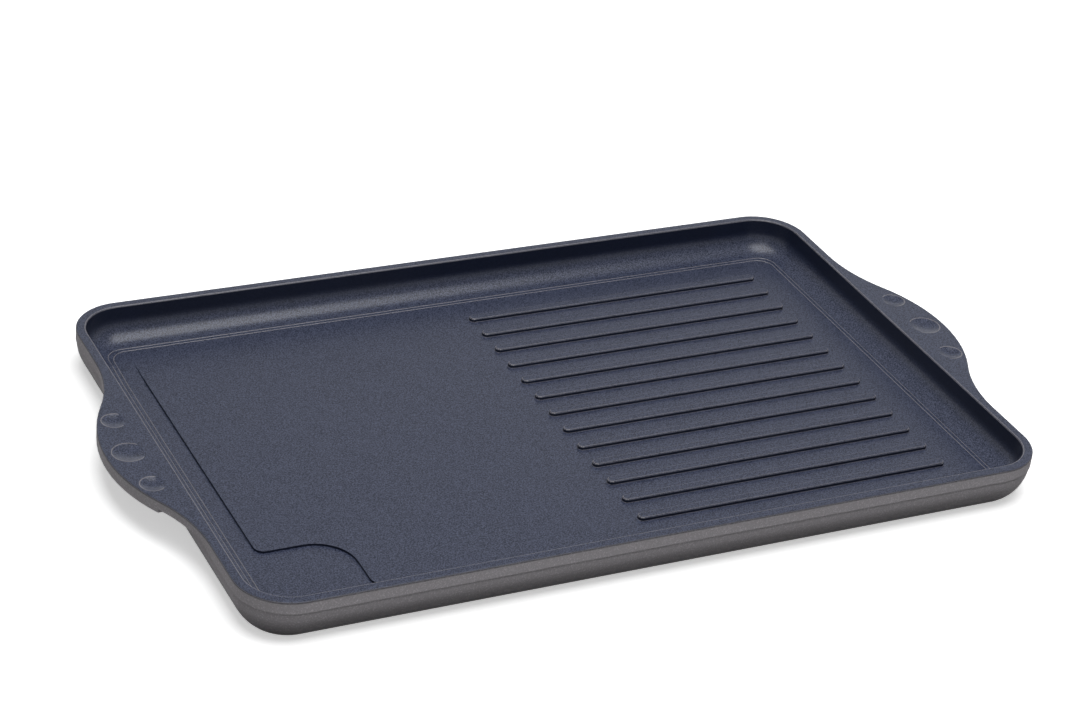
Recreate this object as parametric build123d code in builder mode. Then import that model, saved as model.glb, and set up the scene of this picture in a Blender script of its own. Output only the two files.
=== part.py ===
from build123d import *

import os

# Ridged griddle plate: one pressure-cast aluminium plate with two cast ears, a flat left half,
# a ribbed right half and a drip channel along the left and front that ends in a corner reservoir.
# Millimetres, +Z up, +X to the ribbed half, -Y to the front. The origin is the middle of the base.

# The plate, measured over the rim
PLATE_LENGTH = 430.0
PLATE_WIDTH = 282.0
PLATE_HEIGHT = 25.0
CORNER_RADIUS = 27.0
RIM_WIDTH = 5.1
RIM_BAND_HEIGHT = 6.5

# The bowl under the rim band and the machined pad that it rests on
PARTING_STEP = 0.4
BOWL_RADIUS = 23.0
PAD_INSET = 11.0
PAD_HEIGHT = 1.0

# The tray inside
TRAY_DEPTH = 18.0
COVE_RADIUS = 12.0
TRAY_DRAFT = 3.0

# The ribs of the right half
RIB_COUNT = 13
RIB_PITCH = 16.85
RIB_LENGTH = 176.5
RIB_WIDTH = 5.2
RIB_HEIGHT = 2.0
RIB_START = 0.5
RIB_ROOT = 0.5
RIB_END_SIDES = 12

# The drip channel: distances are from the middle of the plate
CHANNEL_DEPTH = 1.2
CHANNEL_LEFT_EDGE = 187.0
CHANNEL_FRONT_EDGE = 114.0
CHANNEL_BACK_END = 108.0
CHANNEL_RIGHT_END = 182.0
CHANNEL_RUNOUT = 20.0
RESERVOIR_BACK_EDGE = 73.6
RESERVOIR_RIGHT_EDGE = 144.0
RESERVOIR_RADIUS = 20.0
CHANNEL_CORNER_RADIUS = 5.0

# The ears
EAR_REACH = 22.3
EAR_TIP_RADIUS = 90.0
EAR_HALF_SPAN = 85.0
EAR_THICKNESS = 5.0
GRIP_HALF_SPAN = 44.0
GRIP_THICKNESS = 1.8
GRIP_WIDTH = 14.0

# The dimples in the top of each ear
BIG_DIMPLE_DIAMETER = 16.5
SMALL_DIMPLE_DIAMETER = 12.7
DIMPLE_DEPTH = 1.5
BIG_DIMPLE_REACH = 10.7
SMALL_DIMPLE_REACH = 8.5
SMALL_DIMPLE_OFFSET = 29.4
DIMPLE_RECESS_SIDES = 12
DIMPLE_RECESS_TAPER = 65.0

# The easing of the rim's and the ribs' edges, and the two finishes on the casting
EDGE_EASE = 0.5
COATING_THICKNESS = 0.3
LACQUER_THICKNESS = 0.3

# Derived heights
FLOOR_HEIGHT = PLATE_HEIGHT - TRAY_DEPTH
PARTING_HEIGHT = PLATE_HEIGHT - RIM_BAND_HEIGHT
EAR_UNDERSIDE = PLATE_HEIGHT - EAR_THICKNESS
OVERLAP = 3.0


def plate_outline(inset, height):
    """The plan of the plate at a height, set in from the outer face of the rim."""
    with BuildSketch(Plane.XY.offset(height)) as plan:
        RectangleRounded(
            PLATE_LENGTH - 2 * inset,
            PLATE_WIDTH - 2 * inset,
            CORNER_RADIUS - inset,
        )
    return plan.sketch


def ear_outline(lacquer, height):
    """The plan of the right ear: a round tip that flares back into the side of the plate."""
    side = PLATE_LENGTH / 2 - lacquer
    tip_radius = EAR_TIP_RADIUS - lacquer
    flare_radius = (EAR_HALF_SPAN**2 / EAR_REACH + EAR_REACH) / 2 - tip_radius
    share = tip_radius / (tip_radius + flare_radius)
    turn_x = side + EAR_REACH - tip_radius + share * (tip_radius + flare_radius - EAR_REACH)
    turn_y = share * EAR_HALF_SPAN
    with BuildSketch(Plane.XY.offset(height)) as plan:
        with BuildLine():
            TangentArc((side, -EAR_HALF_SPAN), (turn_x, -turn_y), tangent=(0, 1))
            ThreePointArc((turn_x, -turn_y), (side + EAR_REACH, 0), (turn_x, turn_y))
            TangentArc((side, EAR_HALF_SPAN), (turn_x, turn_y), tangent=(0, -1))
            Polyline(
                (side, EAR_HALF_SPAN),
                (side - OVERLAP, EAR_HALF_SPAN),
                (side - OVERLAP, -EAR_HALF_SPAN),
                (side, -EAR_HALF_SPAN),
            )
        make_face()
    return plan.sketch


def grip_outline(lacquer, height):
    """The plan of the grip pad: the outer strip of the ear along its tip."""
    with BuildSketch(Plane.XY.offset(height)) as plan:
        add(ear_outline(lacquer, 0))
        with Locations((PLATE_LENGTH / 2 + EAR_REACH, 0)):
            Rectangle(
                2 * (GRIP_WIDTH - lacquer),
                2 * (GRIP_HALF_SPAN - lacquer),
                mode=Mode.INTERSECT,
            )
    return plan.sketch


def channel_outline(coat):
    """The plan of the drip channel and its reservoir, open to the left and front walls."""
    wall_x = PLATE_LENGTH / 2
    wall_y = PLATE_WIDTH / 2
    left_edge = -CHANNEL_LEFT_EDGE + coat
    front_edge = -CHANNEL_FRONT_EDGE + coat
    reservoir_right = -RESERVOIR_RIGHT_EDGE + coat
    reservoir_back = -RESERVOIR_BACK_EDGE + coat
    with BuildSketch() as plan:
        with BuildLine():
            FilletPolyline(
                (left_edge, CHANNEL_BACK_END),
                (left_edge, reservoir_back),
                (reservoir_right, reservoir_back),
                (reservoir_right, front_edge),
                (CHANNEL_RIGHT_END, front_edge),
                radius=(
                    CHANNEL_CORNER_RADIUS - coat,
                    RESERVOIR_RADIUS + coat,
                    CHANNEL_CORNER_RADIUS - coat,
                ),
            )
            Polyline(
                (CHANNEL_RIGHT_END, front_edge),
                (CHANNEL_RIGHT_END, -wall_y),
                (-wall_x, -wall_y),
                (-wall_x, CHANNEL_BACK_END),
                (left_edge, CHANNEL_BACK_END),
            )
        make_face()
    return plan.sketch


def tray_space(coat, drop):
    """The space inside the tray: drafted walls and a coved foot, lowered by drop."""
    mouth = plate_outline(RIM_WIDTH - coat, PLATE_HEIGHT - drop)
    with BuildPart() as space:
        extrude(mouth, amount=-TRAY_DEPTH - coat, taper=TRAY_DRAFT)
        foot = space.faces().sort_by(Axis.Z)[0]
        fillet(foot.edges(), radius=COVE_RADIUS + coat)
        extrude(mouth, amount=drop + OVERLAP)
    return space.part


def channel_space(coat):
    """The tray's space again, deeper by the channel's depth, kept over the channel only."""
    floor = FLOOR_HEIGHT - coat
    back_ramp = Plane(
        origin=(0, CHANNEL_BACK_END, floor),
        z_dir=(0, -CHANNEL_DEPTH, CHANNEL_RUNOUT),
    )
    right_ramp = Plane(
        origin=(CHANNEL_RIGHT_END, 0, floor),
        z_dir=(-CHANNEL_DEPTH, 0, CHANNEL_RUNOUT),
    )
    lowered = tray_space(coat, CHANNEL_DEPTH)
    with BuildPart() as space:
        extrude(channel_outline(coat), amount=PLATE_HEIGHT + OVERLAP)
        add(lowered, mode=Mode.INTERSECT)
        split(bisect_by=back_ramp, keep=Keep.TOP)
        split(bisect_by=right_ramp, keep=Keep.TOP)
    return space.part


def rib_rows(coat):
    """The row of parallel ribs. Narrow flats, half of a regular polygon, make each round end."""
    middle = RIB_START + RIB_LENGTH / 2
    straight = RIB_LENGTH - RIB_WIDTH
    half_width = RIB_WIDTH / 2 - coat
    with BuildPart() as rows:
        with BuildSketch(Plane.XY.offset(FLOOR_HEIGHT - coat - RIB_ROOT)):
            with Locations((middle, 0)):
                with GridLocations(0, RIB_PITCH, 1, RIB_COUNT):
                    Rectangle(straight, 2 * half_width)
                with GridLocations(straight, RIB_PITCH, 2, RIB_COUNT):
                    RegularPolygon(
                        half_width,
                        RIB_END_SIDES,
                        major_radius=False,
                        rotation=180 / RIB_END_SIDES,
                    )
        extrude(amount=RIB_HEIGHT + RIB_ROOT)
    return rows.part


def ear_lug(coat, lacquer):
    """The right ear, level with the rim, and its grip pad."""
    top = PLATE_HEIGHT - coat
    underside = EAR_UNDERSIDE + lacquer
    with BuildPart() as lug:
        extrude(ear_outline(lacquer, underside), amount=top - underside)
        extrude(grip_outline(lacquer, underside), amount=-GRIP_THICKNESS)
    return lug.part


def dimple_places():
    """The diameter and the centre, in plan, of each dimple of the right ear."""
    big_x = PLATE_LENGTH / 2 + BIG_DIMPLE_REACH
    small_x = PLATE_LENGTH / 2 + SMALL_DIMPLE_REACH
    return (
        (BIG_DIMPLE_DIAMETER, big_x, 0),
        (SMALL_DIMPLE_DIAMETER, small_x, SMALL_DIMPLE_OFFSET),
        (SMALL_DIMPLE_DIAMETER, small_x, -SMALL_DIMPLE_OFFSET),
    )


def dimple_balls():
    """The balls whose lowest caps are the round dimples in the finished top of both ears."""
    with BuildPart() as balls:
        for diameter, x, y in dimple_places():
            radius = ((diameter / 2) ** 2 + DIMPLE_DEPTH**2) / (2 * DIMPLE_DEPTH)
            with Locations((x, y, PLATE_HEIGHT - DIMPLE_DEPTH + radius)):
                Sphere(radius)
        mirror(about=Plane.YZ)
    return balls.part


def dimple_recesses(coat):
    """The recesses in the bare top of both ears that hold the coating of the dimples."""
    with BuildPart() as recesses:
        with BuildSketch(Plane.XY.offset(PLATE_HEIGHT - coat)):
            for diameter, x, y in dimple_places():
                with Locations((x, y)):
                    RegularPolygon(diameter / 2, DIMPLE_RECESS_SIDES, major_radius=False)
        extrude(amount=-DIMPLE_DEPTH, taper=DIMPLE_RECESS_TAPER)
        mirror(about=Plane.YZ)
    return recesses.part


def rim_and_bowl(coat, lacquer):
    """The outer form under the ears: the rim band, the bowl and the machined pad, all solid."""
    bowl_radius = BOWL_RADIUS - lacquer
    bowl_plan = plate_outline(PARTING_STEP + lacquer, PARTING_HEIGHT - bowl_radius)
    with BuildPart() as form:
        extrude(bowl_plan, amount=bowl_radius + OVERLAP)
        bowl_foot = form.faces().sort_by(Axis.Z)[0]
        fillet(bowl_foot.edges(), radius=bowl_radius)
        split(bisect_by=Plane.XY.offset(PAD_HEIGHT + lacquer), keep=Keep.TOP)
        extrude(plate_outline(PAD_INSET + lacquer, 0), amount=PAD_HEIGHT + OVERLAP)
        extrude(
            plate_outline(lacquer, PARTING_HEIGHT + lacquer),
            amount=RIM_BAND_HEIGHT - lacquer - coat,
        )
    return form.part


def plate_body(coat, lacquer):
    """The whole plate with its upper faces set back by coat and its outer faces by lacquer."""
    form = rim_and_bowl(coat, lacquer)
    tray = tray_space(coat, 0)
    channel = channel_space(coat)
    ribs = rib_rows(coat)
    right_ear = ear_lug(coat, lacquer)
    with BuildPart() as body:
        add(form)
        add(tray, mode=Mode.SUBTRACT)
        rim_top = body.faces().sort_by(Axis.Z)[-1]
        chamfer(rim_top.inner_wires().edges(), length=EDGE_EASE)
        add(channel, mode=Mode.SUBTRACT)
        add(ribs)
        add(right_ear)
        add(mirror(right_ear, about=Plane.YZ, mode=Mode.PRIVATE))
    return body.part


def outer_form(lacquer):
    """The plate as a solid block with plain ears, with its outer faces set back by lacquer."""
    form = rim_and_bowl(0, lacquer)
    right_ear = ear_lug(0, lacquer)
    with BuildPart() as block:
        add(form)
        add(right_ear)
        add(mirror(right_ear, about=Plane.YZ, mode=Mode.PRIVATE))
    return block.part


os.makedirs("parts", exist_ok=True)

# The casting, with its upper faces and outer faces bare
with BuildPart() as plate_casting:
    add(plate_body(COATING_THICKNESS, LACQUER_THICKNESS))
    add(dimple_recesses(COATING_THICKNESS), mode=Mode.SUBTRACT)
plate_casting.part.label = "plate_casting"
export_step(plate_casting.part, "parts/plate_casting.step")

# The dark non-stick layer over everything that faces up
with BuildPart() as nonstick_coating:
    add(plate_body(0, LACQUER_THICKNESS))
    rim_top = nonstick_coating.faces().sort_by(Axis.Z)[-1]
    chamfer(rim_top.outer_wire().edges(), length=EDGE_EASE - LACQUER_THICKNESS)
    rib_tops = nonstick_coating.faces().filter_by_position(
        Axis.Z, FLOOR_HEIGHT + RIB_HEIGHT, FLOOR_HEIGHT + RIB_HEIGHT
    )
    chamfer(rib_tops.edges(), length=EDGE_EASE)
    add(dimple_balls(), mode=Mode.SUBTRACT)
    add(plate_casting.part, mode=Mode.SUBTRACT)
nonstick_coating.part.label = "nonstick_coating"
export_step(nonstick_coating.part, "parts/nonstick_coating.step")

# The grey lacquer on the outer walls, the bowl and the undersides of the ears
with BuildPart() as outside_lacquer:
    add(outer_form(0))
    block_top = outside_lacquer.faces().sort_by(Axis.Z)[-1]
    chamfer(block_top.edges(), length=EDGE_EASE)
    add(outer_form(LACQUER_THICKNESS), mode=Mode.SUBTRACT)
outside_lacquer.part.label = "outside_lacquer"
export_step(outside_lacquer.part, "parts/outside_lacquer.step")
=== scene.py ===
"""Ridged griddle plate: its finishes, a plain studio and a camera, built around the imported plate."""

import math

import bmesh
import bpy
from mathutils import Matrix, Vector


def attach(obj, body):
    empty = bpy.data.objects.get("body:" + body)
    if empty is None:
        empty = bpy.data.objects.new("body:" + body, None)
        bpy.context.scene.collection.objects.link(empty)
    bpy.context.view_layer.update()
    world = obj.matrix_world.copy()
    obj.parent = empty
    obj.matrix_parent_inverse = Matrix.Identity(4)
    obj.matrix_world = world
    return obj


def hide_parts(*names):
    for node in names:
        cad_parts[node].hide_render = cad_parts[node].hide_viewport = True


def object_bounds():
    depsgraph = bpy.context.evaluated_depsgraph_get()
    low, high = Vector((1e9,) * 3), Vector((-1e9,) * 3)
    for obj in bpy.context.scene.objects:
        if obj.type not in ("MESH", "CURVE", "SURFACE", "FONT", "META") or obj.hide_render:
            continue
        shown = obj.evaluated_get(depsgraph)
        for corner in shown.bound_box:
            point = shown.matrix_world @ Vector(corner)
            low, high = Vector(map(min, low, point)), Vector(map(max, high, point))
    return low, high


bl_info = {
    "name": "Ridged Griddle Plate",
    "version": (1, 0, 0),
    "blender": (4, 5, 0),
    "location": "View3D > Sidebar > Griddle",
    "description": "Finishes a cast griddle plate and sets up a studio around it",
    "category": "Object",
}

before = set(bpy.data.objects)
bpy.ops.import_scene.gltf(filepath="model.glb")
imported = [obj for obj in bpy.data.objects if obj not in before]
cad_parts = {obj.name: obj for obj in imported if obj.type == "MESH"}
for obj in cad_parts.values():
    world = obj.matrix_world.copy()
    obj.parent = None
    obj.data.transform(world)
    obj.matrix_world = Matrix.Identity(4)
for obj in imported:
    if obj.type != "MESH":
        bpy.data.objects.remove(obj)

MILLIMETRE = 0.001
PLATE_LOW, PLATE_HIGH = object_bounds()

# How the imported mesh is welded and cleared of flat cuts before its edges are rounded
WELD_DISTANCE = 0.002 * MILLIMETRE
FLAT_ANGLE = math.radians(0.3)
ROUNDING_STEPS = 3

# The least upward part of a normal that looks up, and the least outward part of one that looks out
LOOKS_UP = 0.3
LOOKS_OUT = 0.2

# Heights in the tray, and the run of the drip channel's floor
RIM_TOP = PLATE_HIGH.z
RIB_ZONE_TOP = 12.0 * MILLIMETRE
FLOOR_HEIGHT = 7.0 * MILLIMETRE
CHANNEL_DEPTH = 1.2 * MILLIMETRE
CHANNEL_BACK_END = 108.0 * MILLIMETRE
CHANNEL_RIGHT_END = 182.0 * MILLIMETRE
CHANNEL_RUNOUT = 20.0 * MILLIMETRE

# Edges are told apart by the angle between their faces and by their height
LIP_ANGLE = math.radians(17)
EASED_ANGLE = math.radians(35)
SQUARE_ANGLE = math.radians(60)
DIMPLE_LIPS = (LIP_ANGLE, EASED_ANGLE)
EASED_EDGES = (EASED_ANGLE, SQUARE_ANGLE)
SQUARE_EDGES = (SQUARE_ANGLE, math.pi)
AT_ANY_HEIGHT = (-math.inf, math.inf)
ABOVE_THE_RIBS = (RIB_ZONE_TOP, math.inf)
UP_TO_THE_RIBS = (-math.inf, RIB_ZONE_TOP)
FROM_THE_COOKING_FLOOR = (FLOOR_HEIGHT - WELD_DISTANCE, math.inf)

# Numbers of the two finishes on the coating's skin: plain, and a painted highlight for rounded edges
PLAIN, HIGHLIGHTED = 0, 1

# How finely the beads round the tray's foot are drawn, their flat crest and how deep they root
CORNER_STEPS = 10
BEAD_SPACING = 8.0 * MILLIMETRE
BEAD_CREST = 0.15
BEAD_ROOT = 0.04 * MILLIMETRE

# The noise is turned, so that no flat face of the plate lies along its cells
NOISE_TURN = (0.5, 0.4, 0.3)
NOISE_MIDDLE = 0.5

# The coating: its flecks cover these shares of it, the second share on the painted highlight, and thin
# out where it doesn't face up, which paints shade on its walls
COATING_IOR = 1.41
FLECK_COVER = 0.5
HIGHLIGHT_COVER = 0.65
FLECK_SOFTNESS = 0.1
PAINTED_WALL_SHADE_STOPS = [(0.15, 0.08), (0.75, 1.0)]
FLECK_HEIGHT = 0.015 * MILLIMETRE
FLECK_ROUGHNESS = 0.06
PATCH_SIZE = 30.0 * MILLIMETRE
PATCH_STOPS = [(0.3, 0.0), (0.7, 1.0)]
PATCH_SHINE = 1.25

# The lacquer: its flakes, and where the painted shade towards its foot ends and the overspray starts,
# in plate heights
LACQUER_IOR = 1.2
FLAKE_STOPS = [(0.5, 0.0), (0.7, 1.0)]
FLAKE_SHINE = 1.5
FLAKE_HEIGHT = 0.05 * MILLIMETRE
PAINTED_SHADE_FULL = 0.16
PAINTED_SHADE_END = 0.55
OVERSPRAY_STOPS = [(0.945, 0.0), (0.975, 0.85)]
OVERSPRAY_FRAY = 0.06

# The bare metal
MARK_SIZE = 2.0 * MILLIMETRE
METAL_ROUGHNESS = 0.3
MARK_ROUGHNESS = 0.2

# The studio: the lamps' places and sides, and the camera's sensor
KEY_PLACE = (0.0, -0.2, 1.5)
KEY_SIDE = 1.3
FILL_PLACE = (-0.8, -1.35, 1.3)
FILL_SIDE = 1.2
SENSOR_WIDTH = 36.0
CLOSEST_SEEN = 0.01

# The floor: its grey for bounced light, and its glow where it is seen
FLOOR_REACH = 6.0
FLOOR_CLEARANCE = 0.05 * MILLIMETRE
FLOOR_TONE = 0.15
FLOOR_GLOW = 0.5

# The backdrop: white up to the first height, then dimmer up to the second
BACKDROP_WHITE_END = 0.25
BACKDROP_TOP = 0.5
CEILING_TONE = 0.5


class Socket:
    """One output of a shader node. Sums, products and the like on it add Math nodes."""

    def __init__(self, shader, socket):
        self.shader = shader
        self.socket = socket

    def maths(self, operation, *operands):
        """The result of one Math node on these operands."""
        values = dict(enumerate(operands))
        return self.shader.node("ShaderNodeMath", {"operation": operation}, values)

    def __add__(self, other):
        return self.maths("ADD", self, other)

    def __radd__(self, other):
        return self.maths("ADD", other, self)

    def __sub__(self, other):
        return self.maths("SUBTRACT", self, other)

    def __rsub__(self, other):
        return self.maths("SUBTRACT", other, self)

    def __mul__(self, other):
        return self.maths("MULTIPLY", self, other)

    def __rmul__(self, other):
        return self.maths("MULTIPLY", other, self)

    def __truediv__(self, other):
        return self.maths("DIVIDE", self, other)

    def __rtruediv__(self, other):
        return self.maths("DIVIDE", other, self)


class Shader:
    """A material or a world, whose nodes are made one by one through the method node."""

    def __init__(self, owner):
        self.owner = owner
        owner.use_nodes = True
        self.tree = owner.node_tree
        self.tree.nodes.clear()

    def node(self, kind, settings=None, values=None, output=0):
        """Adds a node, applies its settings, then fills or links its sockets."""
        made = self.tree.nodes.new(kind)
        for name, setting in (settings or {}).items():
            if name == "stops":
                self.set_stops(made.color_ramp, setting)
            else:
                setattr(made, name, setting)
        for key, value in (values or {}).items():
            if isinstance(value, Socket):
                self.tree.links.new(value.socket, made.inputs[key])
            else:
                made.inputs[key].default_value = value
        return Socket(self, made.outputs[output]) if made.outputs else made

    def set_stops(self, ramp, stops):
        """Gives a colour ramp these stops in rising order, each a position and a tone of grey."""
        while len(ramp.elements) < len(stops):
            ramp.elements.new(1.0)
        for element, (position, tone) in zip(ramp.elements, stops):
            element.position = position
            element.color = grey(tone)

    def metres(self):
        """The point on the piece in metres, turned so that no flat face lies along a noise cell."""
        place = self.node("ShaderNodeTexCoord", output="Object")
        return self.node("ShaderNodeMapping", values={"Vector": place, "Rotation": NOISE_TURN})

    def rise_of(self, vector):
        """The upward part of a point or a direction."""
        return self.node("ShaderNodeSeparateXYZ", values={"Vector": vector}, output="Z")

    def direct_rays(self):
        """1 for rays that see, mirror or look through to this surface, 0 for its bounced light."""
        seen = self.node("ShaderNodeLightPath", output="Is Camera Ray")
        mirrored = self.node("ShaderNodeLightPath", output="Is Glossy Ray")
        through = self.node("ShaderNodeLightPath", output="Is Transmission Ray")
        return seen + mirrored + through

    def noise(self, point, grain, detail=2.0, roughness=0.5):
        """Noise from 0 to 1 whose lumps are about one grain wide."""
        return self.node(
            "ShaderNodeTexNoise",
            values={
                "Vector": point,
                "Scale": 1.0 / grain,
                "Detail": detail,
                "Roughness": roughness,
            },
        )

    def ramp(self, factor, stops):
        """A grey value read off straight stretches between the stops."""
        return self.node("ShaderNodeValToRGB", {"stops": stops}, {"Fac": factor})

    def grains(self, point, size):
        """Crisp noise from 0 to 1 for flecks and flakes about this far apart."""
        return self.noise(point, size, detail=3.0, roughness=0.7)

    def blend(self, factor, first, second):
        """The colour that goes from first to second as the factor goes from 0 to 1."""
        return self.node(
            "ShaderNodeMix",
            {"data_type": "RGBA"},
            {"Factor": factor, "A": first, "B": second},
            output="Result",
        )

    def bump(self, height, distance):
        """A normal tilted by a height that runs from 0 to 1 over a distance."""
        return self.node("ShaderNodeBump", values={"Height": height, "Distance": distance})

    def finish(self, values):
        """Ends a material in a Principled surface with these sockets."""
        surface = self.node("ShaderNodeBsdfPrincipled", values=values)
        self.node("ShaderNodeOutputMaterial", values={"Surface": surface})
        return self.owner


def colour(values, shine=1.0):
    """A colour property, made this much brighter, as the four numbers of a colour socket."""
    return (*(shine * channel for channel in values), 1.0)


def grey(tone):
    """A grey of this tone as the four numbers of a colour socket."""
    return (tone, tone, tone, 1.0)


def coat_node(name, material):
    """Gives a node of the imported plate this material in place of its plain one."""
    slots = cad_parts[name].data.materials
    slots.clear()
    slots.append(material)


def welded_copy(node):
    """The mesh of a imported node, welded and cleared of flat cuts, ready for finer edges."""
    plan = bmesh.new()
    plan.from_mesh(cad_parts[node].data)
    bmesh.ops.remove_doubles(plan, verts=plan.verts, dist=WELD_DISTANCE)
    bmesh.ops.dissolve_limit(plan, angle_limit=FLAT_ANGLE, verts=plan.verts, edges=plan.edges)
    return plan


def is_seen_edge(edge):
    """True for a sharp edge of a face that looks up, where no face looks down."""
    if len(edge.link_faces) != 2 or edge.calc_face_angle() < LIP_ANGLE:
        return False
    rises = [face.normal.z for face in edge.link_faces]
    return max(rises) > LOOKS_UP and min(rises) > -LOOKS_UP


def is_outer_lip(edge):
    """True for an edge of the outer easing, where the coating meets the lacquer."""
    middle = (edge.verts[0].co + edge.verts[1].co) / 2
    outward = max(face.normal.x * middle.x + face.normal.y * middle.y for face in edge.link_faces)
    return middle.z > RIM_TOP - MILLIMETRE and outward > LOOKS_OUT * middle.to_2d().length


def round_edges(plan, edges, width, finish):
    """Rounds these edges with a few narrow facets, in the finish with this number."""
    rounded = bmesh.ops.bevel(
        plan,
        geom=edges,
        offset=width,
        offset_type="OFFSET",
        segments=ROUNDING_STEPS,
        profile=0.5,
        affect="EDGES",
        clamp_overlap=False,
    )
    for face in rounded["faces"]:
        face.material_index = finish


def sharp_edges(plan, angles, heights, convex):
    """The seen edges between these angles and heights, apart from the outer lips."""
    least, most = angles
    low, high = heights
    return [
        edge
        for edge in plan.edges
        if is_seen_edge(edge)
        and edge.is_convex == convex
        and least < edge.calc_face_angle() < most
        and low < edge.verts[0].co.z <= high
        and not is_outer_lip(edge)
    ]


def add_piece(name, plan, finishes):
    """Puts a finished mesh into the scene as a piece of the plate."""
    mesh = bpy.data.meshes.new(name)
    plan.to_mesh(mesh)
    plan.free()
    for finish in finishes:
        mesh.materials.append(finish)
    piece = bpy.data.objects.new(name, mesh)
    bpy.context.scene.collection.objects.link(piece)
    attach(piece, "root")
    return piece


def channel_drop(x, y):
    """How far the floor at the foot of the walls lies under the cooking floor."""
    run = min(CHANNEL_BACK_END - y, CHANNEL_RIGHT_END - x) / CHANNEL_RUNOUT
    return CHANNEL_DEPTH * min(1.0, max(0.0, run))


def foot_path(half_length, half_width, radius):
    """Points round a rounded rectangle, each with its outward direction."""
    path = []
    for quarter in range(4):
        side_x = 1 if quarter in (0, 3) else -1
        side_y = 1 if quarter in (0, 1) else -1
        for step in range(CORNER_STEPS + 1):
            turn = math.pi / 2 * (quarter + step / CORNER_STEPS)
            out = (math.cos(turn), math.sin(turn))
            x = side_x * (half_length - radius) + radius * out[0]
            y = side_y * (half_width - radius) + radius * out[1]
            path.append((x, y, *out))
    return path


def fill_in(path, spacing):
    """The path with points added along its straight sides, about a spacing apart."""
    filled = []
    for (x, y, out_x, out_y), (next_x, next_y, *_) in zip(path, path[1:] + path[:1]):
        count = max(1, round(math.hypot(next_x - x, next_y - y) / spacing))
        for step in range(count):
            share = step / count
            filled.append((x + share * (next_x - x), y + share * (next_y - y), out_x, out_y))
    return filled


def add_bead(plan, half_length, half_width, settings):
    """A low bead with a flat crest on the floor of the tray, all the way round."""
    path = fill_in(foot_path(half_length, half_width, settings.corner_radius), BEAD_SPACING)
    half = settings.bead_width / 2
    crest = BEAD_CREST * half
    height = settings.bead_height
    profile = ((half, 0), (crest, height), (-crest, height), (-half, 0))
    rings = []
    for x, y, out_x, out_y in path:
        foot = FLOOR_HEIGHT - channel_drop(x, y) - BEAD_ROOT
        rings.append(
            [
                plan.verts.new((x + across * out_x, y + across * out_y, foot + rise))
                for across, rise in profile
            ]
        )
    for ring, after in zip(rings, rings[1:] + rings[:1]):
        for side in range(len(profile)):
            other = (side + 1) % len(profile)
            plan.faces.new((ring[side], after[side], after[other], ring[other]))


class CoatingSettings(bpy.types.PropertyGroup):
    """The dark non-stick layer on everything that faces up."""

    edge_rounding: bpy.props.FloatProperty(
        name="Edge Rounding",
        description="Setback of the rounding along the rim",
        default=0.24 * MILLIMETRE,
        min=0.05 * MILLIMETRE,
        max=0.34 * MILLIMETRE,
        unit="LENGTH",
    )
    rib_rounding: bpy.props.FloatProperty(
        name="Rib Rounding",
        description="Setback of the rounding along the tops of the ribs",
        default=0.12 * MILLIMETRE,
        min=0.05 * MILLIMETRE,
        max=0.24 * MILLIMETRE,
        unit="LENGTH",
    )
    lip_rounding: bpy.props.FloatProperty(
        name="Lip Rounding",
        description="Setback of the rounding round the dimples",
        default=0.3 * MILLIMETRE,
        min=0.05 * MILLIMETRE,
        max=0.6 * MILLIMETRE,
        unit="LENGTH",
    )
    step_rounding: bpy.props.FloatProperty(
        name="Step Rounding",
        description="Setback of the rounding along the top of the drip channel's step",
        default=0.06 * MILLIMETRE,
        min=0.05 * MILLIMETRE,
        max=0.3 * MILLIMETRE,
        unit="LENGTH",
    )
    foot_rounding: bpy.props.FloatProperty(
        name="Foot Rounding",
        description="Setback of the rounding at the foot of the ribs",
        default=0.14 * MILLIMETRE,
        min=0.05 * MILLIMETRE,
        max=0.6 * MILLIMETRE,
        unit="LENGTH",
    )
    base_colour: bpy.props.FloatVectorProperty(
        name="Base Colour",
        description="Colour of the layer between its flecks",
        default=(0.004, 0.007, 0.020),
        size=3,
        min=0.0,
        max=1.0,
        subtype="COLOR",
    )
    fleck_colour: bpy.props.FloatVectorProperty(
        name="Fleck Colour",
        description="Colour of the fine mineral flecks in the layer",
        default=(0.072, 0.083, 0.132),
        size=3,
        min=0.0,
        max=1.0,
        subtype="COLOR",
    )
    # Painted highlight: this light colour goes on the rounded edges and the beads
    highlight_colour: bpy.props.FloatVectorProperty(
        name="Painted Highlight Colour",
        description="Colour of the layer where its edges are rubbed",
        default=(0.17, 0.165, 0.185),
        size=3,
        min=0.0,
        max=1.0,
        subtype="COLOR",
    )
    fleck_size: bpy.props.FloatProperty(
        name="Fleck Size",
        description="Distance from one fleck to the next",
        default=0.7 * MILLIMETRE,
        min=0.1 * MILLIMETRE,
        unit="LENGTH",
    )
    roughness: bpy.props.FloatProperty(
        name="Roughness",
        description="Roughness of the layer between its flecks",
        default=0.28,
        min=0.0,
        max=1.0,
        subtype="FACTOR",
    )


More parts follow.
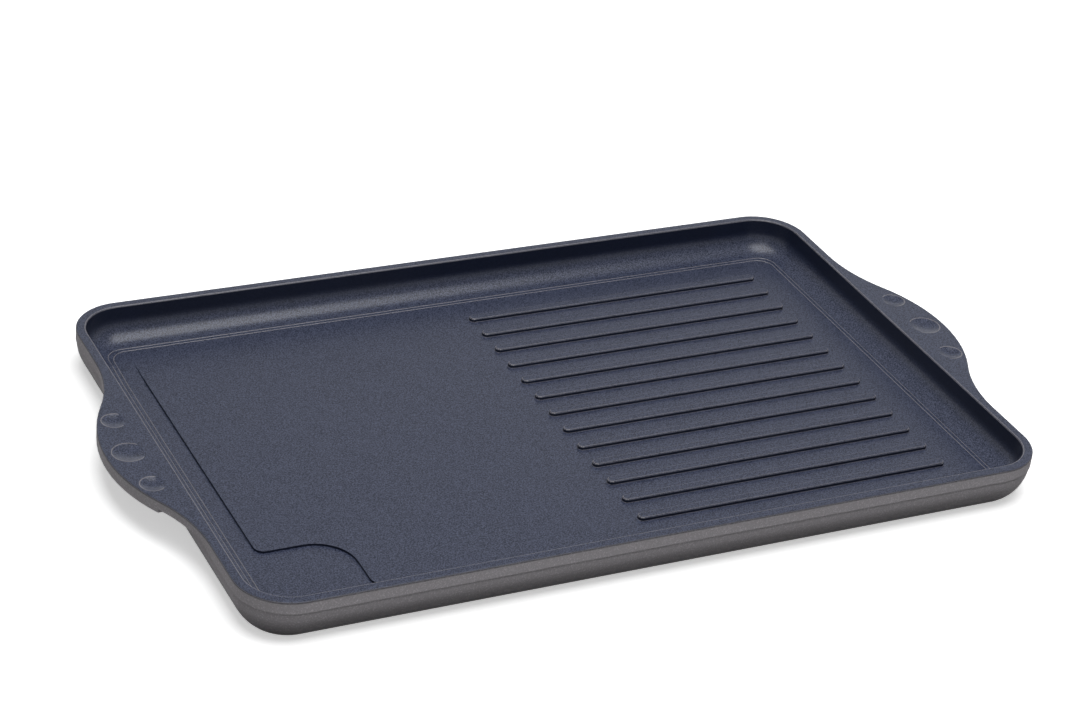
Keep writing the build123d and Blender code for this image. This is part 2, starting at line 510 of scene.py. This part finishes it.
class BeadSettings(bpy.types.PropertyGroup):
    """The two fine beads that the die leaves round the foot of the tray's walls."""

    inner_length: bpy.props.FloatProperty(
        name="Inner Length",
        description="Distance between the left and right sides of the inner bead",
        default=392.4 * MILLIMETRE,
        min=50 * MILLIMETRE,
        unit="LENGTH",
    )
    inner_width: bpy.props.FloatProperty(
        name="Inner Width",
        description="Distance between the front and back sides of the inner bead",
        default=240.6 * MILLIMETRE,
        min=50 * MILLIMETRE,
        unit="LENGTH",
    )
    side_gap: bpy.props.FloatProperty(
        name="Side Gap",
        description="Distance from the inner bead to the outer bead at the left and right",
        default=2.2 * MILLIMETRE,
        min=0.5 * MILLIMETRE,
        unit="LENGTH",
    )
    back_gap: bpy.props.FloatProperty(
        name="Back Gap",
        description="Distance from the inner bead to the outer bead at the front and back",
        default=2.4 * MILLIMETRE,
        min=0.5 * MILLIMETRE,
        unit="LENGTH",
    )
    bead_width: bpy.props.FloatProperty(
        name="Bead Width",
        description="Width of each bead",
        default=0.6 * MILLIMETRE,
        min=0.1 * MILLIMETRE,
        unit="LENGTH",
    )
    bead_height: bpy.props.FloatProperty(
        name="Bead Height",
        description="Height of each bead over its root",
        default=0.2 * MILLIMETRE,
        min=0.05 * MILLIMETRE,
        unit="LENGTH",
    )
    corner_radius: bpy.props.FloatProperty(
        name="Corner Radius",
        description="Radius of the beads in the corners of the tray",
        default=9.0 * MILLIMETRE,
        min=1.0 * MILLIMETRE,
        unit="LENGTH",
    )


class LacquerSettings(bpy.types.PropertyGroup):
    """The grey lacquer on the walls, the bowl and the undersides of the ears."""

    base_colour: bpy.props.FloatVectorProperty(
        name="Base Colour",
        description="Colour of the lacquer",
        default=(0.55, 0.525, 0.555),
        size=3,
        min=0.0,
        max=1.0,
        subtype="COLOR",
    )
    # Painted shade: this dark colour darkens the lacquer towards its foot, where it gets little light
    painted_shade_colour: bpy.props.FloatVectorProperty(
        name="Smoke Colour",
        description="Colour that the burner leaves on the lower part",
        default=(0.02, 0.018, 0.02),
        size=3,
        min=0.0,
        max=1.0,
        subtype="COLOR",
    )
    # Painted shade: how much of that dark colour covers the foot
    painted_shade: bpy.props.FloatProperty(
        name="Painted Shade",
        description="Share of the smoke colour at the foot",
        default=0.9,
        min=0.0,
        max=1.0,
        subtype="FACTOR",
    )
    overspray_colour: bpy.props.FloatVectorProperty(
        name="Overspray Colour",
        description="Colour of the coating's overspray along the top of the lacquer",
        default=(0.03, 0.034, 0.05),
        size=3,
        min=0.0,
        max=1.0,
        subtype="COLOR",
    )
    flake_size: bpy.props.FloatProperty(
        name="Flake Size",
        description="Distance from one metallic flake to the next",
        default=0.8 * MILLIMETRE,
        min=0.1 * MILLIMETRE,
        unit="LENGTH",
    )
    roughness: bpy.props.FloatProperty(
        name="Roughness",
        description="Roughness of the lacquer",
        default=0.65,
        min=0.0,
        max=1.0,
        subtype="FACTOR",
    )


class CastingSettings(bpy.types.PropertyGroup):
    """The bare aluminium that shows on the machined pad under the plate."""

    base_colour: bpy.props.FloatVectorProperty(
        name="Base Colour",
        description="Colour of the bare metal",
        default=(0.62, 0.62, 0.63),
        size=3,
        min=0.0,
        max=1.0,
        subtype="COLOR",
    )


class StudioSettings(bpy.types.PropertyGroup):
    """The camera, the lamps and the floor."""

    target: bpy.props.FloatVectorProperty(
        name="Target",
        description="Point on the floor that the camera looks at",
        default=(0.0255, 0.0626, 0.0),
        size=3,
        unit="LENGTH",
        subtype="TRANSLATION",
    )
    distance: bpy.props.FloatProperty(
        name="Distance",
        description="Distance from the camera to its target",
        default=1.548,
        min=0.1,
        unit="LENGTH",
    )
    azimuth: bpy.props.FloatProperty(
        name="Azimuth",
        description="Turn of the camera round the plate from straight in front",
        default=math.radians(-28.46),
        unit="ROTATION",
    )
    elevation: bpy.props.FloatProperty(
        name="Elevation",
        description="Height of the camera above the floor, as an angle",
        default=math.radians(29.99),
        unit="ROTATION",
    )
    roll: bpy.props.FloatProperty(
        name="Roll",
        description="Turn of the camera about its line of sight",
        default=math.radians(6.34),
        unit="ROTATION",
    )
    lens: bpy.props.FloatProperty(
        name="Lens",
        description="Focal length on a 36 mm sensor, in millimetres",
        default=96.26,
        min=10.0,
    )
    key_power: bpy.props.FloatProperty(
        name="Key Power",
        description="Power of the soft lamp above the plate, in watts",
        default=25.0,
        min=0.0,
    )
    fill_power: bpy.props.FloatProperty(
        name="Fill Power",
        description="Power of the soft lamp in front of the plate and to its left, in watts",
        default=2.2,
        min=0.0,
    )
    sky_strength: bpy.props.FloatProperty(
        name="Sky Strength",
        description="Brightness of the even light from all round",
        default=0.08,
        min=0.0,
    )


def coating_material(name, settings, fleck_colour, cover):
    """The dark non-stick layer, with fine flecks that thin out where it doesn't face up, a painted
    shade on its walls.
    """
    shader = Shader(bpy.data.materials.new(name))
    point = shader.metres()
    grains = shader.grains(point, settings.fleck_size)
    patches = shader.noise(point, PATCH_SIZE, detail=3.0)
    body = colour(settings.base_colour)
    worn = colour(settings.base_colour, PATCH_SHINE)
    rise = shader.rise_of(shader.node("ShaderNodeNewGeometry", output="Normal"))
    fleck_stops = [(1.0 - cover - FLECK_SOFTNESS, 0.0), (1.0 - cover + FLECK_SOFTNESS, 1.0)]
    # Painted shade: the lighter flecks thin out on faces that don't look up, so the walls read darker
    flecks = shader.ramp(rise, PAINTED_WALL_SHADE_STOPS) * shader.ramp(grains, fleck_stops)
    tinted = shader.blend(shader.ramp(patches, PATCH_STOPS), body, worn)
    return shader.finish(
        {
            "Base Color": shader.blend(flecks, tinted, colour(fleck_colour)),
            "Roughness": settings.roughness + FLECK_ROUGHNESS * grains,
            "IOR": COATING_IOR,
            "Normal": shader.bump(grains, FLECK_HEIGHT),
        }
    )


class DressCoating(bpy.types.Operator):
    """Replace the coating's plain solid by one with softly rounded edges, a painted highlight on most
    of them, and a flecked finish
    """

    bl_idname = "griddle.dress_coating"
    bl_label = "Dress Coating"

    def execute(self, context):
        settings = context.scene.griddle_coating
        plan = welded_copy("nonstick_coating")
        # Each rounding's last column is its finish; the HIGHLIGHTED one is a painted highlight
        roundings = (
            (DIMPLE_LIPS, AT_ANY_HEIGHT, True, settings.lip_rounding, HIGHLIGHTED),
            (EASED_EDGES, ABOVE_THE_RIBS, True, settings.edge_rounding, HIGHLIGHTED),
            (EASED_EDGES, UP_TO_THE_RIBS, True, settings.rib_rounding, HIGHLIGHTED),
            (SQUARE_EDGES, AT_ANY_HEIGHT, True, settings.step_rounding, PLAIN),
            (SQUARE_EDGES, FROM_THE_COOKING_FLOOR, False, settings.foot_rounding, HIGHLIGHTED),
        )
        for angles, heights, convex, width, finish in roundings:
            edges = sharp_edges(plan, angles, heights, convex)
            round_edges(plan, edges, width, finish)
        for face in plan.faces:
            face.smooth = True
        # A square inner corner stays crisp, so that its dark side doesn't shade the floor
        for edge in plan.edges:
            edge.smooth = len(edge.link_faces) == 2 and edge.calc_face_angle() < SQUARE_ANGLE
        # The second finish is a painted highlight on the rounded edges
        flecks, highlighted = settings.fleck_colour, settings.highlight_colour
        finishes = (
            coating_material("nonstick_finish", settings, flecks, FLECK_COVER),
            coating_material("painted_highlight_finish", settings, highlighted, HIGHLIGHT_COVER),
        )
        skin = add_piece("nonstick_skin", plan, finishes)
        even = skin.modifiers.new("even_shading", "WEIGHTED_NORMAL")
        even.keep_sharp = True
        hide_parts("nonstick_coating")
        return {"FINISHED"}


class AddFootBeads(bpy.types.Operator):
    """Add the two fine beads round the foot of the tray's walls"""

    bl_idname = "griddle.add_foot_beads"
    bl_label = "Add Foot Beads"

    def execute(self, context):
        settings = context.scene.griddle_beads
        half_length = settings.inner_length / 2
        half_width = settings.inner_width / 2
        plan = bmesh.new()
        add_bead(plan, half_length, half_width, settings)
        outer_half_length = half_length + settings.side_gap
        outer_half_width = half_width + settings.back_gap
        add_bead(plan, outer_half_length, outer_half_width, settings)
        bmesh.ops.recalc_face_normals(plan, faces=plan.faces)
        # The beads carry the painted highlight finish, so that they read as light lines
        add_piece("foot_beads", plan, [bpy.data.materials["painted_highlight_finish"]])
        return {"FINISHED"}


def lacquer_material(settings):
    """Flaked lacquer, darkened by painted shade towards its foot and oversprayed along its top."""
    shader = Shader(bpy.data.materials.new("lacquer_finish"))
    flakes = shader.grains(shader.metres(), settings.flake_size)
    place = shader.node("ShaderNodeTexCoord", output="Object")
    height = shader.rise_of(place) / PLATE_HIGH.z
    # Painted shade: full at the foot, gone above the end height
    painted_shade_share = shader.ramp(height, [(PAINTED_SHADE_FULL, settings.painted_shade), (PAINTED_SHADE_END, 0.0)])
    sprayed = shader.ramp(height + OVERSPRAY_FRAY * (flakes - NOISE_MIDDLE), OVERSPRAY_STOPS)
    body = colour(settings.base_colour)
    bright = colour(settings.base_colour, FLAKE_SHINE)
    flaked = shader.blend(shader.ramp(flakes, FLAKE_STOPS), body, bright)
    shaded = shader.blend(painted_shade_share, flaked, colour(settings.painted_shade_colour))
    return shader.finish(
        {
            "Base Color": shader.blend(sprayed, shaded, colour(settings.overspray_colour)),
            "Roughness": settings.roughness,
            "IOR": LACQUER_IOR,
            "Normal": shader.bump(flakes, FLAKE_HEIGHT),
        }
    )


class FinishLacquer(bpy.types.Operator):
    """Give the outer walls, the bowl and the undersides of the ears their grey lacquer"""

    bl_idname = "griddle.finish_lacquer"
    bl_label = "Finish Lacquer"

    def execute(self, context):
        coat_node("outside_lacquer", lacquer_material(context.scene.griddle_lacquer))
        return {"FINISHED"}


def bare_metal(settings):
    """Machined aluminium with faint marks."""
    shader = Shader(bpy.data.materials.new("bare_casting_finish"))
    marks = shader.noise(shader.metres(), MARK_SIZE, detail=4.0)
    return shader.finish(
        {
            "Base Color": colour(settings.base_colour),
            "Metallic": 1.0,
            "Roughness": METAL_ROUGHNESS + MARK_ROUGHNESS * marks,
        }
    )


class FinishCasting(bpy.types.Operator):
    """Give the bare casting the look of machined aluminium"""

    bl_idname = "griddle.finish_casting"
    bl_label = "Finish Casting"

    def execute(self, context):
        coat_node("plate_casting", bare_metal(context.scene.griddle_casting))
        return {"FINISHED"}


def add_lamp(name, place, power, side):
    """A square soft lamp at a place, turned to the middle of the plate."""
    lamp = bpy.data.lights.new(name, "AREA")
    lamp.shape = "SQUARE"
    lamp.size = side
    lamp.energy = power
    holder = bpy.data.objects.new(name, lamp)
    holder.location = place
    holder.rotation_mode = "QUATERNION"
    holder.rotation_quaternion = (-Vector(place)).to_track_quat("-Z", "Y")
    bpy.context.scene.collection.objects.link(holder)


def add_camera(settings):
    """The camera that looks at the plate as in the photograph."""
    turn = (
        Matrix.Rotation(settings.azimuth, 4, "Z")
        @ Matrix.Rotation(math.pi / 2 - settings.elevation, 4, "X")
        @ Matrix.Rotation(settings.roll, 4, "Z")
    )
    back = turn.to_3x3() @ Vector((0, 0, 1))
    lens = bpy.data.cameras.new("camera")
    lens.sensor_width = SENSOR_WIDTH
    lens.lens = settings.lens
    lens.clip_start = CLOSEST_SEEN
    camera = bpy.data.objects.new("camera", lens)
    place = Vector(settings.target) + settings.distance * back
    camera.matrix_world = Matrix.Translation(place) @ turn
    bpy.context.scene.collection.objects.link(camera)
    bpy.context.scene.camera = camera


def add_floor():
    """A wide pale floor that looks white and keeps the shadow of the plate."""
    outline = ((-1, -1), (1, -1), (1, 1), (-1, 1))
    corners = [(FLOOR_REACH * x, FLOOR_REACH * y, 0) for x, y in outline]
    mesh = bpy.data.meshes.new("floor")
    mesh.from_pydata(corners, [], [(0, 1, 2, 3)])
    floor = bpy.data.objects.new("floor", mesh)
    floor.location = (0, 0, PLATE_LOW.z - FLOOR_CLEARANCE)
    bpy.context.scene.collection.objects.link(floor)
    shader = Shader(bpy.data.materials.new("floor_paper"))
    direct = shader.direct_rays()
    mesh.materials.append(
        shader.finish(
            {
                "Base Color": shader.blend(direct, grey(FLOOR_TONE), grey(1.0)),
                "Roughness": 1.0,
                "Specular IOR Level": 0.0,
                "Emission Color": shader.blend(direct, grey(0.0), grey(FLOOR_GLOW)),
                "Emission Strength": 1.0,
            }
        )
    )


def set_sky(strength):
    """A white horizon that dims upward, and an even, dimmer light from all round."""
    world = bpy.data.worlds.new("studio")
    shader = Shader(world)
    rise = shader.rise_of(shader.node("ShaderNodeTexCoord", output="Generated"))
    backdrop = shader.ramp(rise, [(BACKDROP_WHITE_END, 1.0), (BACKDROP_TOP, CEILING_TONE)])
    background = shader.node(
        "ShaderNodeBackground",
        values={
            "Color": grey(1.0),
            "Strength": strength + shader.direct_rays() * (backdrop - strength),
        },
    )
    shader.node("ShaderNodeOutputWorld", values={"Surface": background})
    bpy.context.scene.world = world


class BuildStudio(bpy.types.Operator):
    """Add the floor, the lamps and the camera"""

    bl_idname = "griddle.build_studio"
    bl_label = "Build Studio"

    def execute(self, context):
        settings = context.scene.griddle_studio
        add_camera(settings)
        add_floor()
        set_sky(settings.sky_strength)
        add_lamp("key_lamp", KEY_PLACE, settings.key_power, KEY_SIDE)
        add_lamp("fill_lamp", FILL_PLACE, settings.fill_power, FILL_SIDE)
        context.scene.view_settings.view_transform = "Standard"
        return {"FINISHED"}


class GriddlePanel(bpy.types.Panel):
    """The finishes and the studio of the griddle plate"""

    bl_idname = "VIEW3D_PT_griddle"
    bl_label = "Griddle Plate"
    bl_space_type = "VIEW_3D"
    bl_region_type = "UI"
    bl_category = "Griddle"

    def draw(self, context):
        for name, operator in STEPS:
            settings = getattr(context.scene, name)
            box = self.layout.box()
            for field in settings.bl_rna.properties:
                if field.identifier not in ("rna_type", "name"):
                    box.prop(settings, field.identifier)
            box.operator(operator.bl_idname)


STEPS = (
    ("griddle_casting", FinishCasting),
    ("griddle_lacquer", FinishLacquer),
    ("griddle_coating", DressCoating),
    ("griddle_beads", AddFootBeads),
    ("griddle_studio", BuildStudio),
)
SETTINGS = {
    "griddle_casting": CastingSettings,
    "griddle_lacquer": LacquerSettings,
    "griddle_coating": CoatingSettings,
    "griddle_beads": BeadSettings,
    "griddle_studio": StudioSettings,
}
CLASSES = (
    *SETTINGS.values(),
    *(operator for name, operator in STEPS),
    GriddlePanel,
)


def register():
    """Adds the operators, the panel and their settings to Blender."""
    for made in CLASSES:
        bpy.utils.register_class(made)
    for name, group in SETTINGS.items():
        setattr(bpy.types.Scene, name, bpy.props.PointerProperty(type=group))


def unregister():
    """Takes the operators, the panel and their settings out again."""
    for name in SETTINGS:
        delattr(bpy.types.Scene, name)
    for made in reversed(CLASSES):
        bpy.utils.unregister_class(made)


def main():
    """Makes every finish and piece in order."""
    register()
    bpy.ops.griddle.finish_casting()
    bpy.ops.griddle.finish_lacquer()
    bpy.ops.griddle.dress_coating()
    bpy.ops.griddle.add_foot_beads()
    bpy.ops.griddle.build_studio()


if __name__ == "__main__":
    main()
